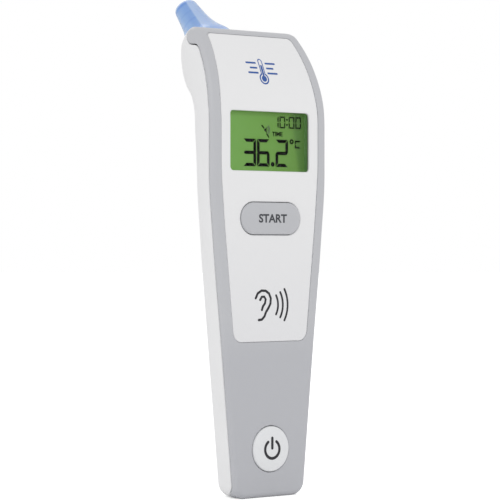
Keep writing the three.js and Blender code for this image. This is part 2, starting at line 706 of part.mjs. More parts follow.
add(thermometer, 'battery_holder', makeBatteryHolder(), NATURAL_PLASTIC);
add(thermometer, 'battery', pin(BATTERY_RADIUS, 0, BATTERY_Z, BATTERY_FRONT, BATTERY_BACK, 36), STEEL);
add(thermometer, 'battery_contact_positive', makePositiveContact(), STEEL);
add(thermometer, 'battery_contact_negative', makeNegativeContact(), STEEL);
add(thermometer, 'battery_door', makeBatteryDoor(), WHITE_SHELL);
add(thermometer, 'door_screw', makeScrew(0, DOOR_SCREW_Z, 9.5, 13.9), STEEL);

add(probe, 'probe_cover', makeProbeCover(), COVER_BLUE);
add(probe, 'probe_collar', makeProbeCollar(), GREY_COVER);
add(probe, 'probe_barrel', makeProbeBarrel(), PROBE_BLUE);
add(probe, 'probe_seal', tube(5.2, 6, -2.35, -1.95), RUBBER);
add(probe, 'probe_window', disc(1.8, 17, 17.3, 24), CLEAR_LENS);
add(probe, 'waveguide', tube(1.35, 1.8, 2, 16.8), GOLD);
add(probe, 'thermopile_can', disc(2.3, -1, 1.7, 28), STEEL);
add(probe, 'sensor_header', makeSensorHeader(), GOLD);
add(probe, 'sensor_heatsink', tube(2.95, 3.95, -2, 1.6), STEEL);
add(probe, 'sensor_board', disc(3.95, -3.45, -2.85, 28), BOARD_GREEN);
add(thermometer, 'sensor_flex', makeSensorFlex(), FLEX_AMBER);

export default thermometer;
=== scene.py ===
"""The looks of a digital ear thermometer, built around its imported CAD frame.

Pieces are made in millimetres in the form's own coordinates: x across, y back from the flat front
face, z up from the datum that the outlines are measured from. to_row() turns them into the frame.
The casing is a distance field, so that its head and neck blend and every edge is rounded.
"""

import bmesh
import bpy
import numpy as np
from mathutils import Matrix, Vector


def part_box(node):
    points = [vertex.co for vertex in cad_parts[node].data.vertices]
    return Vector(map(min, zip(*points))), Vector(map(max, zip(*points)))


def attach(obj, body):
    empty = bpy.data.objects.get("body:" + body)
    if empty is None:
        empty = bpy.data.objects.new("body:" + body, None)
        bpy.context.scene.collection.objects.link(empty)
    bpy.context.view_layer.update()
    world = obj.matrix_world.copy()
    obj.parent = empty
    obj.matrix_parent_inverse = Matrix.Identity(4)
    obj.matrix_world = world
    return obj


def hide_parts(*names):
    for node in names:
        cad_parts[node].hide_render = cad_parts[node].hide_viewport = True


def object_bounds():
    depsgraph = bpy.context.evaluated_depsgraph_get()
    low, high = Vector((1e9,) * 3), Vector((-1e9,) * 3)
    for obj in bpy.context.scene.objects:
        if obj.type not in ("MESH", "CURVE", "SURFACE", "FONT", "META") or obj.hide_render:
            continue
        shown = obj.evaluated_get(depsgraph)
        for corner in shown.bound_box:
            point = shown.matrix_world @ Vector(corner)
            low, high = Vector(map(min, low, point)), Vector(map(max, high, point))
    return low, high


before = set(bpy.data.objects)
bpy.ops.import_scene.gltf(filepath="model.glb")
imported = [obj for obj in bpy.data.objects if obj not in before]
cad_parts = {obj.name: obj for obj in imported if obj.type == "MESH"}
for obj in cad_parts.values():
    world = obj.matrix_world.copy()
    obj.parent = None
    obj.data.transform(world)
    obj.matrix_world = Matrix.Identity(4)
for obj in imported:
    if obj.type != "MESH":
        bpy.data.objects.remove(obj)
cad_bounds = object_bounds()

MM = 0.001

# ---------------------------------------------------------------- driving dimensions, mm

TOP = 128.65
BASE = -0.75
WALL = 1.7
PLATE = 2.0
PARTING = 1.45
SEAM = 0.22
FLAT_TOP = 101.5
FRONT_RADIUS = 38.0
FRONT_EDGE = 1.5
SIDE_CORNER_BASE = 3.6
# The top corner of the side walls grows from the first radius to the second between these depths.
SIDE_CORNER_TOP = 1.7
SHOULDER_CORNER = 5.2
SHOULDER_DEPTHS = [13, 19]
END_CORNER = 3.6
TOE_HEIGHT = 3.5
TOE_DEPTH = 4.0

HALF_WIDTH = [
    (BASE, 12.15), (42, 16.15), (70, 18.9), (88, 20.15), (106, 20.15), (118, 19.3), (TOP, 17.9),
]
REAR_DEPTH = [
    (BASE, 14.8), (50, 16.4), (85, 16.7), (104, 18.9), (109, 21.4), (113, 26.4), (117, 29.3), (121, 29.9),
    (TOP, 28.3),
]

# The power of the rear section's superellipse falls between these heights.
SECTION_POWER_HEIGHTS, SECTION_POWERS = [100, 116], [2.35, 2.0]

PANEL_LOW, PANEL_HIGH = 42.0, 126.85
PANEL_HALF_WIDTH = [
    (42, 12.7), (60, 14.45), (80, 16.3), (92, 17), (104, 17), (116, 16.1), (PANEL_HIGH, 14.6),
]
PANEL_THICKNESS = 0.85
PANEL_RECESS = 1.1
PANEL_GAP = 0.02

DISPLAY_LOW, DISPLAY_HIGH, DISPLAY_HALF_WIDTH = 88.9, 105.2, 13.8
GLASS_FRONT = 2.8
GLASS_BACK = 4.3
GLASS_LOW, GLASS_HIGH, GLASS_HALF_WIDTH = 86.6, 106.6, 14.6
POCKET_LOW, POCKET_HIGH, POCKET_HALF_WIDTH = 87.3, 106.6, 15.3
START_Z, START_HALF_LENGTH, START_RADIUS = 75.85, 10.35, 4.4
POWER_Z, POWER_RADIUS = 12.55, 6.25
KEY_PROUD = 0.55
KEY_GAP = 0.15
INK_LIFT = 0.06

LOBE_Y, LOBE_Z, LOBE_RADIUS, LOBE_MELT = 12.25, 126.6, 2.6, 4.2

SEAT = np.array([0, 25.85, 123.55])
SLOPE = np.sqrt(0.5)
NECK_RADIUS = 9.3
NECK_MELT = 5
SEAT_HOLE = 5.9
SEAT_HOLE_DEPTH = 4

DOOR_LOW, DOOR_HIGH, DOOR_HALF_WIDTH, DOOR_GAP = 27.0, 62.0, 11.0, 0.3
DOOR_SCREW_Z = 58.6
CASE_SCREWS = [(-9.5, 66.5), (9.5, 66.5), (0, 22.6)]
POST_RADIUS, POST_FRONT = 2.9, 8.1
WELL_RADIUS, WELL_FLOOR, BORE_RADIUS, BORE_END = 2.3, 11.9, 1.3, 12.5
PARTING_EDGE = 0.28

FRONT_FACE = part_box("front_cover")[0].y / MM
ROW_SHIFT = np.array([0.0, FRONT_FACE, cad_bounds[0][2] / MM - BASE])


def to_row(points):
    """Form coordinates in millimetres to the frame's metres."""
    return (np.asarray(points, float) + ROW_SHIFT) * MM


# ---------------------------------------------------------------- curves and fields


def through(stations):
    """A smooth curve through (height, value) stations that never overshoots them."""
    heights, values = np.array(stations, float).T
    chords = np.diff(values) / np.diff(heights)
    slopes = np.zeros(len(heights))
    slopes[0], slopes[-1] = chords[0], chords[-1]
    for i in range(1, len(heights) - 1):
        left, right = chords[i - 1], chords[i]
        slopes[i] = 0 if left * right <= 0 else 2 * left * right / (left + right)

    def curve(z):
        z = np.clip(z, heights[0], heights[-1])
        i = np.clip(np.searchsorted(heights, z, side="right") - 1, 0, len(heights) - 2)
        span = heights[i + 1] - heights[i]
        t = (z - heights[i]) / span
        start = values[i] * (1 + 2 * t) * (1 - t) ** 2 + slopes[i] * span * t * (1 - t) ** 2
        end = values[i + 1] * t * t * (3 - 2 * t) - slopes[i + 1] * span * t * t * (1 - t)
        return start + end

    return curve


half_width_at = through(HALF_WIDTH)
rear_depth_at = through(REAR_DEPTH)
panel_half_width_at = through(PANEL_HALF_WIDTH)


def front_depth_at(z):
    rise = np.clip(np.asarray(z, float) - FLAT_TOP, 0, None)
    return FRONT_RADIUS - np.sqrt(FRONT_RADIUS**2 - rise**2)


def both(a, b, radius=0.0):
    """The overlap of two fields, with its edge rounded."""
    if np.all(radius == 0):
        return np.maximum(a, b)
    sharp = np.minimum(np.maximum(a, b), -radius)
    return sharp + np.hypot(np.maximum(a + radius, 0), np.maximum(b + radius, 0))


def melt(a, b, width):
    """The union of two fields, with the corner between them filled."""
    share = np.clip(0.5 + 0.5 * (b - a) / width, 0, 1)
    return b * (1 - share) + a * share - width * share * (1 - share)


def cut(a, b, radius=0.0):
    return both(a, -b, radius)


def in_front(y, z):
    """Distance ahead of the front face, which is flat below and bends back above."""
    return np.where(z <= FLAT_TOP, -y, np.hypot(y - FRONT_RADIUS, z - FLAT_TOP) - FRONT_RADIUS)


def off_axis(x, y, z):
    """Distance from the probe's axis."""
    return np.hypot(x, ((y - SEAT[1]) - (z - SEAT[2])) * SLOPE)


def along_axis(y, z):
    return ((y - SEAT[1]) + (z - SEAT[2])) * SLOPE


def side_field(x, y, z):
    """Distance outside the side and rear walls. A rear section is a superellipse."""
    width = half_width_at(z)
    power = np.interp(z, SECTION_POWER_HEIGHTS, SECTION_POWERS)
    start = front_depth_at(z) + PARTING + 0.1
    depth = rear_depth_at(z) - start
    across = np.abs(x) / width
    back = np.maximum(y - start, 0) / depth
    reach = np.maximum((across**power + back**power) ** (1 / power), 1e-3)
    slope_across = (across / reach) ** (power - 1) / width
    slope_back = (back / reach) ** (power - 1) / depth
    steepness = np.hypot(slope_across, slope_back)
    sides = (reach - 1) / np.maximum(steepness, 1e-3)
    return melt(sides, off_axis(x, y, z) - NECK_RADIUS, NECK_MELT)


def casing(x, y, z):
    top_corner = np.interp(y, SHOULDER_DEPTHS, [SIDE_CORNER_TOP, SHOULDER_CORNER])
    field = both(side_field(x, y, z), z - TOP, top_corner)
    field = both(field, along_axis(y, z), END_CORNER)
    field = both(field, BASE - z, SIDE_CORNER_BASE)
    return both(field, in_front(y, z), FRONT_EDGE)


def inside(x, y, z):
    """The room inside the side, rear, top and base walls, open to the front."""
    field = both(side_field(x, y, z) + WALL, z - TOP + WALL, 4.2)
    field = both(field, along_axis(y, z) + WALL, 3.6)
    return both(field, BASE + WALL - z, 1.5)


def front_part(y, z):
    """Negative ahead of the parting line, with the lobe at the top and the toe at the base."""
    rise = np.clip(1 - (z - BASE) / TOE_HEIGHT, 0, 1)
    parting = -in_front(y, z) - PARTING - TOE_DEPTH * rise**1.4
    lobe = np.hypot(y - LOBE_Y, z - LOBE_Z) - LOBE_RADIUS
    return melt(parting, lobe, LOBE_MELT)


def rounded_box(x, z, half, low, high, corner):
    across = np.abs(x) - half + corner
    up = np.abs(z - (low + high) / 2) - (high - low) / 2 + corner
    outside = np.hypot(np.maximum(across, 0), np.maximum(up, 0))
    return outside + np.minimum(np.maximum(across, up), 0) - corner


def stadium(x, z, half_length, radius, centre):
    return np.hypot(np.maximum(np.abs(x) - half_length + radius, 0), z - centre) - radius


def panel_outline(x, z):
    field = both(np.abs(x) - panel_half_width_at(z), z - PANEL_HIGH, 1.2)
    return both(field, PANEL_LOW - z, 2.6)


def cylinder(x, z, centre, radius):
    return np.hypot(x - centre[0], z - centre[1]) - radius


# ---------------------------------------------------------------- pieces as fields


def front_cover_field(x, y, z):
    field = both(casing(x, y, z), front_part(y, z), PARTING_EDGE)
    room = both(inside(x, y, z), in_front(y, z) + PLATE)
    field = cut(field, room)
    recess = both(panel_outline(x, z) - PANEL_GAP, -in_front(y, z) - PANEL_RECESS)
    field = cut(field, recess, 0.06)
    field = cut(field, rounded_box(x, z, POCKET_HALF_WIDTH, POCKET_LOW, POCKET_HIGH, 1) + 0 * y)
    field = cut(field, stadium(x, z, START_HALF_LENGTH + KEY_GAP, START_RADIUS + KEY_GAP, START_Z) + 0 * y)
    return cut(field, cylinder(x, z, (0, POWER_Z), POWER_RADIUS + KEY_GAP) + 0 * y, 0.2)


def face_panel_field(x, y, z):
    field = both(panel_outline(x, z) + 0 * y, in_front(y, z), 0.3)
    field = both(field, -in_front(y, z) - PANEL_THICKNESS, 0.1)
    display = rounded_box(x, z, DISPLAY_HALF_WIDTH, DISPLAY_LOW, DISPLAY_HIGH, 1)
    field = cut(field, display + 0 * y, 0.3)
    start = stadium(x, z, START_HALF_LENGTH + KEY_GAP, START_RADIUS + KEY_GAP, START_Z)
    return cut(field, start + 0 * y, 0.25)


def door_outline(x, y, z, grow):
    plan = rounded_box(x, z, DOOR_HALF_WIDTH + grow, DOOR_LOW - grow, DOOR_HIGH + grow + 0.9, 2.5)
    lean = z - (DOOR_HIGH + grow - 0.7 + (y - 9) * 0.1)
    return both(plan + 0 * y, lean)


def rear_shell_field(x, y, z):
    field = both(casing(x, y, z), SEAM - front_part(y, z), PARTING_EDGE)
    field = cut(field, inside(x, y, z), 0.2)
    field = cut(field, both(door_outline(x, y, z, DOOR_GAP), 9 - y), 0.3)
    for centre in CASE_SCREWS:
        post = both(both(cylinder(x, z, centre, POST_RADIUS) + 0 * y, POST_FRONT - y), casing(x, y, z))
        field = np.minimum(field, post)
        field = cut(field, both(cylinder(x, z, centre, WELL_RADIUS) + 0 * y, WELL_FLOOR - y), 0.2)
        field = cut(field, both(cylinder(x, z, centre, BORE_RADIUS) + 0 * y, y - BORE_END))
    hole = both(off_axis(x, y, z) - SEAT_HOLE, -along_axis(y, z) - SEAT_HOLE_DEPTH)
    return cut(field, hole, 0.2)


def battery_door_field(x, y, z):
    field = both(casing(x, y, z), door_outline(x, y, z, 0), 0.3)
    field = cut(field, side_field(x, y, z) + WALL)
    screw = (0, DOOR_SCREW_Z)
    pillar = both(both(cylinder(x, z, screw, POST_RADIUS) + 0 * y, 12.5 - y), casing(x, y, z) + 0.4)
    field = np.minimum(field, pillar)
    for middle in (-5.5, 5.5):
        across = np.abs(x - middle) - 1.5
        tongue = both(across, both(np.abs(y - 11.25) - 0.65, np.abs(z - 26.9) - 1.7), 0.2)
        root = both(across, both(np.abs(y - 12) - 1.4, np.abs(z - 27.9) - 0.7), 0.2)
        field = np.minimum(field, np.minimum(tongue, root))
    well = both(cylinder(x, z, screw, 2.2) + 0 * y, 13.7 - y)
    field = cut(field, well, 0.2)
    return cut(field, cylinder(x, z, screw, 1.25) + 0 * y)


# ---------------------------------------------------------------- meshes


def surface_net(field, low, high, step):
    """Quads around the zero level of a field, one point for each cell that it passes through."""
    axes = [np.arange(a - step, b + 2 * step, step) for a, b in zip(low, high)]
    value = field(axes[0][:, None, None], axes[1][None, :, None], axes[2][None, None, :])
    solid = value < 0
    shape = [n - 1 for n in value.shape]
    corners = np.array([(i, j, k) for i in (0, 1) for j in (0, 1) for k in (0, 1)])
    count = sum(
        solid[i:i + shape[0], j:j + shape[1], k:k + shape[2]].astype(np.int8) for i, j, k in corners
    )
    active = (count > 0) & (count < 8)
    cells = np.argwhere(active)
    number = np.full(shape, -1, np.int32)
    number[active] = np.arange(len(cells))
    at = [value[tuple((cells + corner).T)] for corner in corners]
    total = np.zeros((len(cells), 3))
    crossings = np.zeros(len(cells))
    for a in range(8):
        for axis, bit in enumerate((4, 2, 1)):
            if a & bit:
                continue
            crossed = (at[a] < 0) != (at[a | bit] < 0)
            share = np.where(crossed, at[a] / np.where(crossed, at[a] - at[a | bit], 1), 0)
            point = np.repeat(corners[a][None].astype(float), len(cells), 0)
            point[:, axis] += share
            total += point * crossed[:, None]
            crossings += crossed
    points = np.array([axis[0] for axis in axes]) + step * (cells + total / crossings[:, None])
    quads = []
    for axis in range(3):
        b, c = np.eye(3, dtype=int)[(axis + 1) % 3], np.eye(3, dtype=int)[(axis + 2) % 3]
        ahead = np.roll(solid, -1, axis)
        change = solid != ahead
        change.swapaxes(0, axis)[-1] = False
        edges = np.argwhere(change)
        fits = np.all((edges - b - c >= 0) & (edges < shape), axis=1)
        edges = edges[fits]
        ring = np.stack([number[tuple((edges - shift).T)] for shift in (0 * b, b, b + c, c)], 1)
        outward = solid[tuple(edges.T)]
        ring[~outward] = ring[~outward][:, ::-1]
        quads.append(ring)
    return points, np.concatenate(quads)


def settle(field, points, reach, rounds=3):
    """Moves points onto the zero level of a field, and returns them with its normals."""
    offset = 0.03
    for _ in range(rounds):
        value = field(*points.T)
        slope = np.stack([
            field(*(points + offset * unit).T) - field(*(points - offset * unit).T) for unit in np.eye(3)
        ], 1) / (2 * offset)
        steepness = np.maximum((slope**2).sum(1, keepdims=True), 0.05)
        move = value[:, None] * slope / steepness
        length = np.linalg.norm(move, axis=1, keepdims=True)
        points = points - move * np.minimum(1, reach / np.maximum(length, 1e-9))
    normals = slope / np.maximum(np.linalg.norm(slope, axis=1, keepdims=True), 1e-9)
    return points, normals


def mesh_piece(name, points, faces):
    """A mesh object from form coordinates."""
    data = bpy.data.meshes.new(name)
    data.from_pydata(to_row(points).tolist(), [], [list(map(int, face)) for face in faces])
    data.validate()
    data.update()
    data.polygons.foreach_set("use_smooth", [True] * len(data.polygons))
    piece = bpy.data.objects.new(name, data)
    bpy.context.scene.collection.objects.link(piece)
    return piece


def apply_modifiers(piece):
    graph = bpy.context.evaluated_depsgraph_get()
    data = bpy.data.meshes.new_from_object(piece.evaluated_get(graph))
    piece.modifiers.clear()
    piece.data = data


def field_piece(name, field, low, high, step, keep):
    """A piece whose surface is a field's zero level, thinned where it is flat."""
    points, quads = surface_net(field, low, high, step)
    points, _ = settle(field, points, step * 0.6)
    piece = mesh_piece(name, points, quads)
    thin = piece.modifiers.new("thin", "DECIMATE")
    thin.ratio = keep
    apply_modifiers(piece)
    flat = np.empty(len(piece.data.vertices) * 3)
    piece.data.vertices.foreach_get("co", flat)
    settled, normals = settle(field, flat.reshape(-1, 3) / MM - ROW_SHIFT, step * 0.4)
    piece.data.vertices.foreach_set("co", to_row(settled).ravel())
    piece.data.update()
    piece.data.normals_split_custom_set_from_vertices(normals.tolist())
    return piece


def spun_points(profile, segments, origin, axis):
    """Turns (radius, along) pairs about an axis square to x, and returns a ring of points for each."""
    axis = np.array(axis, float)
    side = np.array([1.0, 0, 0])
    up = np.cross(axis, side)
    angles = np.linspace(0, 2 * np.pi, segments, endpoint=False)
    around = np.cos(angles)[:, None] * side + np.sin(angles)[:, None] * up
    return [origin + radius * around + along * axis for radius, along in profile]


def rings_piece(name, rings, closed=False):
    """Joins rings of equal length. An open run is capped at both ends, a closed one meets itself."""
    count = len(rings[0])
    points = list(np.concatenate(rings))
    faces = []
    last = len(rings) if closed else len(rings) - 1
    for level in range(last):
        lower, upper = level * count, ((level + 1) % len(rings)) * count
        for i in range(count):
            j = (i + 1) % count
            faces.append((lower + i, lower + j, upper + j, upper + i))
    if not closed:
        for level, flip in ((0, True), (len(rings) - 1, False)):
            points.append(rings[level].mean(0))
            for i in range(count):
                a, b = level * count + i, level * count + (i + 1) % count
                faces.append((len(points) - 1, b, a) if flip else (len(points) - 1, a, b))
    return mesh_piece(name, np.array(points), faces)


def face_outward(piece):
    """Turns every face of a closed piece so that it points out."""
    work = bmesh.new()
    work.from_mesh(piece.data)
    bmesh.ops.recalc_face_normals(work, faces=work.faces)
    if work.calc_volume(signed=True) < 0:
        bmesh.ops.reverse_faces(work, faces=work.faces)
    work.to_mesh(piece.data)
    work.free()
    return piece


def keep_edges(piece, angle=35):
    """Smooth shading, with edges sharper than the angle kept crisp."""
    piece.data.set_sharp_from_angle(angle=np.radians(angle))
    return piece


def bend_onto(piece, surface, lift):
    """Cuts a flat drawing into low strips and lays it on a surface, y as a function of z."""
    work = bmesh.new()
    work.from_mesh(piece.data)
    heights = [vertex.co.y for vertex in work.verts]
    for z in np.arange(min(heights) + 0.5, max(heights), 0.5):
        everything = work.verts[:] + work.edges[:] + work.faces[:]
        bmesh.ops.bisect_plane(work, geom=everything, plane_co=(0, z, 0), plane_no=(0, 1, 0))
    for vertex in work.verts:
        x, z, out = vertex.co
        vertex.co = to_row((x, float(surface(z)) - lift * np.sign(out), z))
    bmesh.ops.triangulate(work, faces=work.faces)
    bmesh.ops.recalc_face_normals(work, faces=work.faces)
    work.to_mesh(piece.data)
    work.free()


def printed(name, outlines, surface, lift=0.03):
    """A thin printed mark from closed outlines of (x, z) points. An outline inside another is a hole."""
    drawing = bpy.data.curves.new(name, "CURVE")
    drawing.dimensions = "2D"
    drawing.fill_mode = "BOTH"
    drawing.extrude = 1
    for outline in outlines:
        spline = drawing.splines.new("POLY")
        spline.points.add(len(outline) - 1)
        for point, (x, z) in zip(spline.points, outline):
            point.co = (x, z, 0, 1)
        spline.use_cyclic_u = True
    return lay_drawing(name, drawing, surface, lift)


def lettered(name, words, height, middle, surface, lift=0.03, boldness=0.02, widen=1.0):
    """Generic words as a thin printed mark, centred on (x, z)."""
    drawing = bpy.data.curves.new(name, "FONT")
    drawing.body = words
    drawing.align_x = "CENTER"
    drawing.align_y = "CENTER"
    drawing.size = height / 0.73
    drawing.offset = boldness * height
    drawing.extrude = 1
    drawing.resolution_u = 4
    return lay_drawing(name, drawing, surface, lift, middle, widen)


def lay_drawing(name, drawing, surface, lift, middle=(0, 0), widen=1.0):
    flat = bpy.data.objects.new(name + "_drawing", drawing)
    bpy.context.scene.collection.objects.link(flat)
    bpy.context.view_layer.update()
    data = bpy.data.meshes.new_from_object(flat.evaluated_get(bpy.context.evaluated_depsgraph_get()))
    bpy.data.objects.remove(flat)
    data.name = name
    for vertex in data.vertices:
        vertex.co.x = vertex.co.x * widen + middle[0]
        vertex.co.y += middle[1]
    piece = bpy.data.objects.new(name, data)
    bpy.context.scene.collection.objects.link(piece)
    bend_onto(piece, surface, lift)
    return piece


def arc(centre, radius, start, end, steps=24):
    """Points along an arc, with angles in degrees from +x towards +z."""
    angles = np.radians(np.linspace(start, end, steps))
    return [(centre[0] + radius * np.cos(a), centre[1] + radius * np.sin(a)) for a in angles]


def stroke(path, width):
    """The outline of a pen stroke of that width along a path, with round ends."""
    path = np.array(path, float)
    along = np.gradient(path, axis=0)
    along /= np.linalg.norm(along, axis=1, keepdims=True)
    side = np.stack([-along[:, 1], along[:, 0]], 1) * width / 2
    heading = np.degrees(np.arctan2(along[:, 1], along[:, 0]))
    front = arc(path[-1], width / 2, heading[-1] + 80, heading[-1] - 80, 8)
    back = arc(path[0], width / 2, heading[0] - 100, heading[0] - 260, 8)
    return [*map(tuple, path + side), *front, *map(tuple, (path - side)[::-1]), *back]


# ---------------------------------------------------------------- materials


def linear(red, green, blue):
    """A screen colour, 0 to 255, as the linear colour that shaders take."""
    share = np.array([red, green, blue]) / 255
    return (*np.where(share <= 0.04045, share / 12.92, ((share + 0.055) / 1.055) ** 2.4), 1)


class Finish:
    """A Principled material built from named node steps."""

    def __init__(self, name, colour, roughness, **sockets):
        self.material = bpy.data.materials.new(name)
        self.material.use_nodes = True
        self.nodes = self.material.node_tree.nodes
        self.links = self.material.node_tree.links
        self.shader = self.nodes["Principled BSDF"]
        self.place = self.nodes.new("ShaderNodeTexCoord").outputs["Object"]
        self.colour = linear(*colour)
        self.shader.inputs["Base Color"].default_value = self.colour
        self.shader.inputs["Roughness"].default_value = roughness
        self.roughness = roughness
        for socket, value in sockets.items():
            self.shader.inputs[socket.replace("_", " ")].default_value = value

    def noise(self, scale, detail=3.0):
        node = self.nodes.new("ShaderNodeTexNoise")
        node.inputs["Scale"].default_value = scale
        node.inputs["Detail"].default_value = detail
        self.links.new(self.place, node.inputs["Vector"])
        return node.outputs["Fac"]

    def ramp(self, value, low, high, start=0.3, end=0.7):
        """Two colours over a range of a value."""
        node = self.nodes.new("ShaderNodeValToRGB")
        node.color_ramp.elements[0].position = start
        node.color_ramp.elements[1].position = end
        node.color_ramp.elements[0].color = low
        node.color_ramp.elements[1].color = high
        self.links.new(value, node.inputs["Fac"])
        return node.outputs["Color"]

    def between(self, value, low, high, start=0.0, end=1.0):
        """A number that runs from low to high over a range of a value."""
        node = self.nodes.new("ShaderNodeMapRange")
        for socket, number in (("From Min", start), ("From Max", end), ("To Min", low), ("To Max", high)):
            node.inputs[socket].default_value = number
        self.links.new(value, node.inputs["Value"])
        return node.outputs["Result"]

    def along(self, direction, start):
        """Distance in metres along a direction, from a point in form millimetres."""
        node = self.nodes.new("ShaderNodeVectorMath")
        node.operation = "DOT_PRODUCT"
        node.inputs[1].default_value = direction
        self.links.new(self.place, node.inputs[0])
        offset = self.nodes.new("ShaderNodeMath")
        offset.operation = "SUBTRACT"
        offset.inputs[1].default_value = float(np.dot(direction, to_row(start)))
        self.links.new(node.outputs["Value"], offset.inputs[0])
        return offset.outputs["Value"]

    def bands(self, value, stops):
        """Several colours along a value in metres. A stop is its place in millimetres and its colour."""
        low, high = stops[0][0], stops[-1][0]
        share = self.between(value, 0, 1, low * MM, high * MM)
        node = self.nodes.new("ShaderNodeValToRGB")
        elements = node.color_ramp.elements
        elements[0].color = linear(*stops[0][1])
        elements[1].color = linear(*stops[-1][1])
        for place, colour in stops[1:-1]:
            elements.new((place - low) / (high - low)).color = linear(*colour)
        self.links.new(share, node.inputs["Fac"])
        return node.outputs["Color"]

    def blend(self, mode, share, low, high):
        """Two colours mixed. The share is a number or a node's output."""
        node = self.nodes.new("ShaderNodeMix")
        node.data_type = "RGBA"
        node.blend_type = mode
        if isinstance(share, (int, float)):
            node.inputs["Factor"].default_value = share
        else:
            self.links.new(share, node.inputs["Factor"])
        for socket, colour in (("A", low), ("B", high)):
            if isinstance(colour, tuple):
                node.inputs[socket].default_value = colour
            else:
                self.links.new(colour, node.inputs[socket])
        return node.outputs["Result"]

    def mottle(self, scale=90, depth=0.025):
        """Slight unevenness of a moulded colour, and of its gloss."""
        value = self.noise(scale, 4)
        low = (*(channel * (1 - depth) for channel in self.colour[:3]), 1)
        high = (*(min(1, channel * (1 + depth)) for channel in self.colour[:3]), 1)
        self.links.new(self.ramp(value, low, high), self.shader.inputs["Base Color"])
        gloss = self.between(self.noise(scale * 2.3), self.roughness * 0.88, self.roughness * 1.12, 0.3, 0.7)
        self.links.new(gloss, self.shader.inputs["Roughness"])
        return self

    def grain(self, scale, height, strength=0.5):
        """The fine texture of a tool surface, with its height in metres."""
        bump = self.nodes.new("ShaderNodeBump")
        bump.inputs["Strength"].default_value = strength
        bump.inputs["Distance"].default_value = height
        self.links.new(self.noise(scale, 5), bump.inputs["Height"])
        self.links.new(bump.outputs["Normal"], self.shader.inputs["Normal"])
        return self

    def shade_towards_bottom(self, shaded_colour, low, high):
        """Painted shade: the colour darkens towards the bottom, from the shaded colour at the low height to
        the finish's own colour at the high one, in form millimetres.
        """
        height = self.between(self.along((0, 0, 1), (0, 0, low)), 0, 1, 0, (high - low) * MM)
        colour = self.ramp(height, linear(*shaded_colour), self.colour, 0, 1)
        self.links.new(colour, self.shader.inputs["Base Color"])
        return self


def moulded(name, colour, roughness, mottle, grain, **sockets):
    """A finish with (scale, depth) unevenness and (scale, height, strength) surface grain."""
    return Finish(name, colour, roughness, **sockets).mottle(*mottle).grain(*grain)


def plain(name, colour, roughness, mottle, **sockets):
    """A finish with (scale, depth) unevenness on a smooth surface."""
    return Finish(name, colour, roughness, **sockets).mottle(*mottle)


def make_finishes():
    """Every finish by the name of its material slot, with the inks and the display's foam."""
    finishes = {
        "white_shell": moulded("white_shell_plastic", (236, 236, 237), 0.38, (80, 0.012), (2600, 2e-5, 0.12)),
        "grey_cover": Finish("grey_cover_plastic", (193, 194, 198), 0.42).grain(2600, 2e-5, 0.14),
        "white_panel": Finish("panel_plastic", (237, 237, 238), 0.34).grain(2200, 1.5e-5, 0.1),
        "key_grey": moulded("start_key_plastic", (192, 193, 197), 0.36, (120, 0.015), (2600, 2e-5, 0.1)),
        "key_white": moulded("power_key_plastic", (232, 233, 235), 0.36, (120, 0.012), (2600, 2e-5, 0.1)),
        "cover_blue": Finish(
            "cover_plastic", (184, 206, 246), 0.22, Subsurface_Weight=0.2,
            Subsurface_Radius=(0.002, 0.003, 0.006), Subsurface_Scale=0.5,
        ).grain(900, 2e-5, 0.08),
        # The barrel's mid blue is painted shade: it is the barrel as it looks shaded behind the blue cover.
        "probe_blue": plain("probe_plastic_painted_shade", (88, 136, 214), 0.3, (140, 0.03)),
        "natural_plastic": moulded("natural_plastic", (226, 224, 214), 0.45, (100, 0.03), (1800, 2e-5, 0.2)),
        "rubber": moulded("keypad_rubber", (70, 74, 80), 0.7, (160, 0.06), (2400, 4e-5, 0.3)),
        "board_green": moulded("board_mask", (24, 92, 58), 0.32, (500, 0.12), (1400, 3e-5, 0.4)),
        "chip_black": moulded("chip_epoxy", (34, 35, 37), 0.6, (600, 0.1), (3000, 3e-5, 0.4)),
        "flex_amber": plain("flex_film", (196, 120, 32), 0.28, (300, 0.08)),
        "steel": moulded(
            "bright_steel", (206, 208, 212), 0.28, (300, 0.05), (2500, 2e-5, 0.3), Metallic=1.0,
        ),
        "gold": plain("gold_plating", (236, 196, 104), 0.25, (300, 0.05), Metallic=1.0),
        "aluminium": plain("soft_aluminium", (214, 216, 220), 0.42, (300, 0.06), Metallic=1.0),
        "light_guide": plain("light_guide_acrylic", (214, 232, 206), 0.3, (200, 0.03)),
        "clear_lens": Finish("clear_window", (255, 255, 255), 0.03, Transmission_Weight=1.0, IOR=1.12),
        "ink_black": plain("lcd_segments", (6, 4, 8), 0.6, (300, 0.08), Specular_IOR_Level=0.08),
        "ink_faint": plain("lcd_faint_segments", (84, 112, 72), 0.5, (300, 0.08)),
        "ink_grey": plain("key_ink_grey", (60, 62, 68), 0.5, (300, 0.05)),
        "ink_dark": plain("panel_ink_dark", (24, 24, 32), 0.5, (300, 0.05)),
        "ink_blue": plain("panel_ink_blue", (40, 86, 160), 0.45, (300, 0.05)),
        # The display's foam glows dim green with painted light, so that its wall, which lies in shade, reads
        # green instead of black.
        "display_foam_painted_glow": moulded(
            "display_foam_painted_glow", (66, 92, 56), 0.85, (300, 0.08), (2400, 3e-5, 0.3),
            Emission_Color=linear(70, 106, 56), Emission_Strength=0.75,
        ),
    }
    # Painted shade: the panel is darker towards its bottom.
    finishes["white_panel"].shade_towards_bottom((231, 231, 233), PANEL_LOW, 84)
    # Painted shade: the grey cover is darker towards its bottom, below the panel's lower edge.
    finishes["grey_cover"].shade_towards_bottom((187, 188, 193), PANEL_LOW - 4, PANEL_LOW + 6)
    paint_cover_shade_and_rim_light(finishes["cover_blue"])
    return finishes


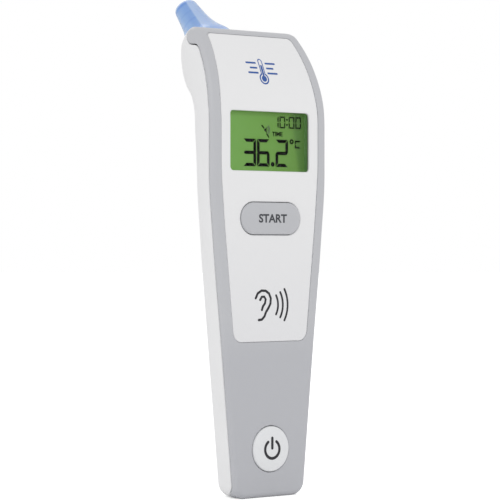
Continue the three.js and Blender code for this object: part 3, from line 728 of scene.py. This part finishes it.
def painted_glow_lcd():
    """The green display, glowing with painted light, with painted shade along a slanting right band and a
    painted shadow under its top edge.
    """
    finish = Finish("display_painted_glow_and_shade", (40, 58, 34), 0.3, Specular_IOR_Level=0.15)
    # Painted shade: the green darkens across the display, most in a slanting band at the right.
    across = finish.along((1, 0, 0.16), (0, 0, 97))
    green = finish.bands(across, [
        (-14, (112, 160, 80)), (0.5, (104, 150, 68)), (10.2, (97, 138, 62)), (11.6, (78, 114, 54)),
        (15, (70, 104, 48)),
    ])
    # Painted shadow under the display's top edge.
    below_top = finish.along((0, 0, 1), (0, 0, DISPLAY_HIGH))
    shade = finish.between(below_top, 1, 0.62, -1.5 * MM, 0)
    lit = finish.blend("MULTIPLY", 1, green, shade)
    # Painted light: the display glows, though it is no lamp.
    finish.links.new(lit, finish.shader.inputs["Emission Color"])
    finish.shader.inputs["Emission Strength"].default_value = 0.92
    return finish


def paint_cover_shade_and_rim_light(finish):
    """Painted colour in place of a translucent look: one side of the cone painted deeper blue as painted
    shade, fixed on that side, with the barrel's steps as faint lines, and a pale rim at the tip painted as
    light through the thin edge."""
    across = finish.along((0.67, -0.53, 0.53), SEAT)
    # Painted shade: the cone is painted deeper blue on one side, fixed in the cover's own coordinates.
    blue = finish.bands(across, [
        (-4.2, (168, 194, 238)), (-2.6, (146, 180, 232)), (-0.6, (130, 167, 228)), (0.7, (132, 168, 228)),
        (1.2, (176, 199, 241)), (3.2, (164, 189, 237)), (7.2, (180, 201, 244)),
    ])
    up = finish.along((0, SLOPE, SLOPE), SEAT)
    seams = finish.bands(up, [
        (9.8, (255, 255, 255)), (10.9, (236, 241, 250)), (11.2, (255, 255, 255)), (13.4, (255, 255, 255)),
        (14.2, (240, 244, 251)), (14.5, (255, 255, 255)), (17.0, (255, 255, 255)), (17.8, (206, 223, 247)),
        (18.3, (255, 255, 255)),
    ])
    # The share of the painted shade's side, where the barrel's step lines show most.
    painted_shade_side = finish.between(across, 1, 0.15, 0.7 * MM, 1.2 * MM)
    lined = finish.blend("MULTIPLY", painted_shade_side, blue, seams)
    # Painted light: a pale rim at the tip.
    rim = finish.between(up, 0, 0.75, 18.1 * MM, 18.9 * MM)
    speckle = finish.between(finish.noise(160), -0.03, 0.03, 0.3, 0.7)
    with_painted_rim_light = finish.blend("MIX", rim, lined, linear(216, 228, 250))
    tinted = finish.blend("ADD", speckle, with_painted_rim_light, linear(188, 208, 248))
    finish.links.new(tinted, finish.shader.inputs["Base Color"])


def dress(piece, finish, slot, body, *nodes):
    """Gives a piece its material and its body, and hides the CAD nodes that it stands for. The slot is not
    used.
    """
    piece.data.materials.clear()
    piece.data.materials.append(finish.material)
    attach(piece, body)
    if nodes:
        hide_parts(*nodes)


# ---------------------------------------------------------------- casing


def make_casing(finishes):
    low, high = (-21, -1, BASE - 0.5), (21, 32, TOP + 0.5)
    rear = field_piece("rear_shell_moulding", rear_shell_field, low, high, step=0.4, keep=0.35)
    dress(rear, finishes["white_shell"], "white_shell", "housing", "rear_shell")
    high = (21, 15, TOP + 0.5)
    cover = field_piece("front_cover_moulding", front_cover_field, low, high, step=0.36, keep=0.4)
    dress(cover, finishes["grey_cover"], "grey_cover", "housing", "front_cover")
    low, high = (-18, -0.5, 41), (18, 10, 127.5)
    panel = field_piece("face_panel_moulding", face_panel_field, low, high, step=0.3, keep=0.3)
    dress(panel, finishes["white_panel"], "white_panel", "housing", "face_panel")
    low, high = (-12, 8, 24), (12, 18, 64)
    door = field_piece("battery_door_moulding", battery_door_field, low, high, step=0.35, keep=0.5)
    dress(door, finishes["white_shell"], "white_shell", "door", "battery_door")


# ---------------------------------------------------------------- keys


def stadium_ring(half_length, radius, centre_z, y, steps=28):
    straight = half_length - radius
    right = arc((straight, centre_z), radius, -90, 90, steps)
    left = arc((-straight, centre_z), radius, 90, 270, steps)
    return np.array([(x, y, z) for x, z in right + left])


def key_cap(name, half_length, radius, centre_z):
    """A key with a soft edge, a shallow crown and the flange that holds it behind the cover."""
    inset_and_depth = [
        (0.6, 3.0), (-0.9, 3.0), (-0.9, 2.25), (0, 2.25), (0, 0.1), (0.03, -0.12), (0.12, -0.28),
        (0.27, -0.38), (0.5, -0.435), (1.1, -0.47), (2.2, 0.03 - KEY_PROUD), (3.4, 0.008 - KEY_PROUD),
    ]
    rings = [stadium_ring(half_length - inset, radius - inset, centre_z, y) for inset, y in inset_and_depth]
    return keep_edges(face_outward(rings_piece(name, rings)), 50)


def key_face(z):
    """The depth at which the keys' ink starts, the same at every height."""
    return -KEY_PROUD + 0.04


def make_keys(finishes):
    start = key_cap("start_key_cap", START_HALF_LENGTH, START_RADIUS, START_Z)
    dress(start, finishes["key_grey"], "key_grey", "start_key", "start_button")
    power = key_cap("power_key_cap", POWER_RADIUS, POWER_RADIUS, POWER_Z)
    dress(power, finishes["key_white"], "key_white", "power_key", "power_button")
    middle = (0.35, START_Z - 0.1)
    word = lettered("start_legend", "START", 2.3, middle, key_face, INK_LIFT, boldness=0.04, widen=1.06)
    dress(word, finishes["ink_grey"], "key_grey", "start_key")
    x, pen = 0.15, 0.8
    ring = stroke(arc((x, POWER_Z - 0.1), 2.5, 125, 415, 40), pen)
    stem = stroke([(x, POWER_Z + 0.2), (x, POWER_Z + 1.5), (x, POWER_Z + 3.0)], pen)
    symbol = printed("power_legend", [ring, stem], key_face, INK_LIFT)
    dress(symbol, finishes["ink_dark"], "key_white", "power_key")


# ---------------------------------------------------------------- probe


def make_probe(finishes):
    """The cover and the barrel, turned about the probe's axis from (radius, place along it) profiles."""
    axis = (0, SLOPE, SLOPE)
    cover_outside = [
        (7.35, 0.25), (7.5, 0.4), (7.5, 0.85), (7.45, 1.05), (7.44, 1.6), (7.4, 2.3), (7.3, 2.8),
        (7.12, 3.3), (6.82, 4), (6.5, 4.65), (6.1, 5.5), (5.64, 6.6), (5.25, 7.7), (4.87, 8.9), (4.56, 10),
        (4.3, 11.2), (4.1, 12.4), (3.9, 14), (3.72, 15.6), (3.56, 17.1), (3.44, 18.2), (3.36, 18.65),
        (3.2, 18.98), (3.0, 19.15), (2.8, 19.18),
    ]
    cover_inside = [
        (2.6, 19.0), (0.02, 18.95), (0.02, 18.7), (2.6, 18.65), (3, 18.2), (3.3, 15.6), (3.66, 12.4),
        (4.1, 10), (4.75, 7.7), (5.5, 5.4), (6.2, 3.8), (6.7, 2.5), (6.8, 0.25),
    ]
    rings = spun_points(cover_outside + cover_inside, 96, SEAT, axis)
    cover = keep_edges(face_outward(rings_piece("probe_cover_shell", rings, closed=True)), 40)
    dress(cover, finishes["cover_blue"], "cover_blue", "tip_cover", "probe_cover")
    barrel = [
        (6.5, -3.6), (6.5, -2.6), (4.9, -2.6), (4.9, 2.2), (4.7, 2.45), (3.45, 3.85), (3.3, 4.1), (3.3, 8.6),
        (3.05, 8.9), (3.05, 12.3), (2.85, 12.6), (2.85, 17.1), (2.75, 17.4), (2.5, 17.6), (2.05, 17.6),
        (2.05, 2), (4.2, 2), (4.2, -3.6),
    ]
    rings = spun_points(barrel, 72, SEAT, axis)
    piece = keep_edges(face_outward(rings_piece("probe_barrel_turned", rings, closed=True)))
    dress(piece, finishes["probe_blue"], "probe_blue", "housing", "probe_barrel")


# ---------------------------------------------------------------- display and marks


def segment_outlines(left, right, low, high, lit, thickness, gap):
    """The lit bars of a seven-segment figure, with mitred ends. Bars are named a to g as usual."""
    middle = (low + high) / 2
    t, g = thickness, gap

    def flat(edge, inward):
        inner = edge + inward * t
        return [(left + g, edge), (right - g, edge), (right - g - t, inner), (left + g + t, inner)]

    def upright(edge, inward, outer_end, inner_end):
        way = np.sign(outer_end - inner_end)
        start, end = inner_end + way * g / 2, outer_end - way * g
        inner = edge + inward * t
        return [(edge, start), (edge, end), (inner, end - way * t), (inner, start + way * t / 2)]

    waist = (left + g + t / 2, right - g - t / 2)
    bars = {
        "a": flat(high, -1),
        "b": upright(right, -1, high, middle),
        "c": upright(right, -1, low, middle),
        "d": flat(low, 1),
        "e": upright(left, 1, low, middle),
        "f": upright(left, 1, high, middle),
        "g": [
            (waist[0], middle + t / 2), (waist[1], middle + t / 2), (waist[1] + t / 2, middle),
            (waist[1], middle - t / 2), (waist[0], middle - t / 2), (waist[0] - t / 2, middle),
        ],
    }
    return [bars[name] for name in lit]


FIGURES = {"0": "abcdef", "1": "bc", "2": "abged", "3": "abgcd", "6": "afgecd"}


def box_outline(left, right, low, high):
    return [(left, low), (right, low), (right, high), (left, high)]


def glass_face(z):
    """The depth of the display's front, the same at every height."""
    return GLASS_FRONT


def make_display(finishes):
    rings = []
    for inset, y in ((0, GLASS_BACK), (0, GLASS_FRONT + 0.1), (0.1, GLASS_FRONT)):
        half = GLASS_HALF_WIDTH - inset
        outline = box_outline(-half, half, GLASS_LOW + inset, GLASS_HIGH - inset)
        rings.append(np.array([(x, y, z) for x, z in outline]))
    plate = face_outward(rings_piece("lcd_plate", rings))
    keep_edges(plate, 10)
    dress(plate, painted_glow_lcd(), "lcd_green", "housing", "lcd_glass")
    ink_lift = 0.05
    low, high, width = 90.2, 97.8, 4.45
    marks = []
    for left, figure in ((-7.45, "3"), (-2.7, "6"), (3.85, "2")):
        marks += segment_outlines(left, left + width, low, high, FIGURES[figure], 0.94, 0.14)
    marks.append(arc((2.85, low + 0.7), 0.66, 0, 345))
    degree = (9.62, 97.35)
    marks += [arc(degree, 0.72, 0, 345), arc(degree, 0.27, 0, 345, 12)]
    marks += segment_outlines(10.75, 12.85, 95.5, 97.7, "aefd", 0.46, 0.03)
    low, high, width = 100.95, 104.25, 2.05
    for left, figure in ((2.9, "1"), (5.28, "0"), (8.55, "0"), (10.95, "0")):
        marks += segment_outlines(left, left + width, low, high, FIGURES[figure], 0.42, 0.06)
    marks += [arc((7.95, z), 0.31, 0, 330, 12) for z in (101.95, 103.4)]
    marks += [stroke([(-0.95, 101.55), (-0.6, 101.2), (-0.25, 100.85)], 0.4)]
    marks += [stroke([(0.8, 99.2), (1.12, 98.8), (1.45, 98.4)], 0.4)]
    marks += [[(-0.1, 100), (0.2, 100), (0.68, 99.45), (0.68, 101.1), (0.2, 100.6), (-0.1, 100.6)]]
    figures = printed("lcd_figures", marks, glass_face, ink_lift)
    dress(figures, finishes["ink_black"], "lcd_green", "housing")
    waves = [stroke(arc((0.35, 100.4), radius, -50, 50, 8), 0.32) for radius in (0.95, 1.45)]
    piece = printed("lcd_sound_waves", waves, glass_face, ink_lift)
    dress(piece, finishes["ink_faint"], "lcd_green", "housing")
    middle = (4.5, 99.25)
    word = lettered("lcd_time_word", "TIME", 1.2, middle, glass_face, ink_lift, boldness=0.05, widen=1.05)
    dress(word, finishes["ink_black"], "lcd_green", "housing")
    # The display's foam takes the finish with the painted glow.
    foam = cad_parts["display_gasket"].data
    foam.materials[0] = finishes["display_foam_painted_glow"].material


def make_marks(finishes):
    """Two generic pictograms on the panel: a thermometer above the display, an ear below the key."""
    x, low = -0.4, 112.8
    body = [*arc((x, low + 1.6), 1.6, 118, 422, 30), *arc((x, low + 6.5), 0.75, 0, 180, 12)]
    hollow = [*arc((x, low + 1.6), 1.2, 113, 427, 24), *arc((x, low + 6.5), 0.47, 0, 180, 10)]
    tube = [*arc((x, low + 1.6), 0.85, 110, 430, 24), *arc((x, low + 5.2), 0.29, 0, 180, 8)]
    marks = [body, hollow, tube]
    for i, length in enumerate((3.1, 2.1, 3.1)):
        z = low + 3.2 + 1.4 * i
        for side in (-1, 1):
            start, end = x + side * 1.8, x + side * (1.8 + length)
            marks.append(stroke([(start, z), ((start + end) / 2, z), (end, z)], 0.5))
    piece = printed("thermometer_mark", marks, front_depth_at)
    dress(piece, finishes["ink_blue"], "white_panel", "housing")
    x, z, size = -2.6, 52.1, 1.2
    rim = [
        (-1.3, -3.4), (-0.4, -3.3), (0.35, -2.6), (0.8, -1.6), (1.5, -0.7), (2.1, 0.3), (2.2, 1.5),
        (1.7, 2.6), (0.7, 3.25), (-0.5, 3.3), (-1.6, 2.7), (-2.2, 1.6),
    ]
    fold = [(-0.9, 1.2), (-0.4, 1.9), (0.3, 1.9), (0.7, 1.3), (0.5, 0.4), (-0.1, -0.3), (-0.4, -1.1)]
    strokes = []
    for path in (rim, fold):
        strokes.append(stroke([(x + size * across, z + size * up) for across, up in path], 0.7))
    strokes += [stroke(arc((x, z), radius, -30, 30, 10), 0.62) for radius in (5.2, 6.9, 8.6)]
    piece = printed("ear_mark", strokes, front_depth_at)
    dress(piece, finishes["ink_dark"], "white_panel", "housing")


# ---------------------------------------------------------------- the parts that stay as CAD nodes


def finish_cad_nodes(finishes):
    """A CAD node's own material carries the name of its slot."""
    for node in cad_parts.values():
        slot = node.data.materials[0].name.split(".")[0]
        if slot in finishes:
            node.data.materials[0] = finishes[slot].material


# ---------------------------------------------------------------- studio


def area_light(name, place, target, size, power):
    light = bpy.data.lights.new(name, "AREA")
    light.shape = "DISK"
    light.size = size
    light.energy = power
    lamp = bpy.data.objects.new(name, light)
    lamp.location = place
    lamp.rotation_euler = (Vector(target) - Vector(place)).to_track_quat("-Z", "Y").to_euler()
    bpy.context.scene.collection.objects.link(lamp)


def make_studio():
    scene = bpy.context.scene
    scene.view_settings.view_transform = "Standard"
    world = bpy.data.worlds.new("studio")
    scene.world = world
    world.use_nodes = True
    nodes, links = world.node_tree.nodes, world.node_tree.links
    shown, light = nodes["Background"], nodes.new("ShaderNodeBackground")
    shown.inputs["Strength"].default_value = 1.0
    shown.inputs["Color"].default_value = (1, 1, 1, 1)
    light.inputs["Color"].default_value = (1, 1, 1, 1)
    light.inputs["Strength"].default_value = 0.8
    path, mix = nodes.new("ShaderNodeLightPath"), nodes.new("ShaderNodeMixShader")
    links.new(path.outputs["Is Camera Ray"], mix.inputs["Fac"])
    links.new(light.outputs["Background"], mix.inputs[1])
    links.new(shown.outputs["Background"], mix.inputs[2])
    links.new(mix.outputs["Shader"], nodes["World Output"].inputs["Surface"])
    floor_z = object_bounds()[0][2]
    bpy.ops.mesh.primitive_circle_add(vertices=96, radius=6, fill_type="NGON", location=(0, 0, floor_z))
    floor = bpy.context.object
    floor.name = "studio_floor"
    white = Finish("floor_white", (250, 250, 250), 0.9).mottle(4, 0.01)
    white.shader.inputs["Emission Color"].default_value = (1, 1, 1, 1)
    seen = white.nodes.new("ShaderNodeLightPath").outputs["Is Camera Ray"]
    white.links.new(white.between(seen, 0, 0.45), white.shader.inputs["Emission Strength"])
    floor.data.materials.append(white.material)
    area_light("key_light", (-0.75, -0.6, 0.7), (0, 0, 0.07), 0.5, 1.6)
    area_light("fill_light", (0.8, -0.6, 0.35), (0, 0, 0.07), 0.6, 0.4)
    area_light("rear_light", (0.2, 0.9, 0.8), (0, 0, 0.09), 0.6, 1.5)


def make_camera():
    azimuth = np.radians(38.2)
    forward = np.array([np.sin(azimuth), np.cos(azimuth), 0])
    right = np.array([np.cos(azimuth), -np.sin(azimuth), 0])
    distance, offset, height = 613.0, 5.68, 67.2
    place = -distance * forward - offset * right + np.array([0, 0, height])
    lens = bpy.data.cameras.new("camera")
    lens.lens = 160.56
    lens.sensor_width = 36
    lens.clip_end = 50
    camera = bpy.data.objects.new("camera", lens)
    camera.location = to_row(place)
    camera.rotation_euler = (np.pi / 2, 0, -azimuth)
    bpy.context.scene.collection.objects.link(camera)
    bpy.context.scene.camera = camera


finishes = make_finishes()
make_camera()
make_studio()
finish_cad_nodes(finishes)
make_casing(finishes)
make_keys(finishes)
make_probe(finishes)
make_display(finishes)
make_marks(finishes)


def corners(bounds):
    return [list(map(float, corner)) for corner in bounds]
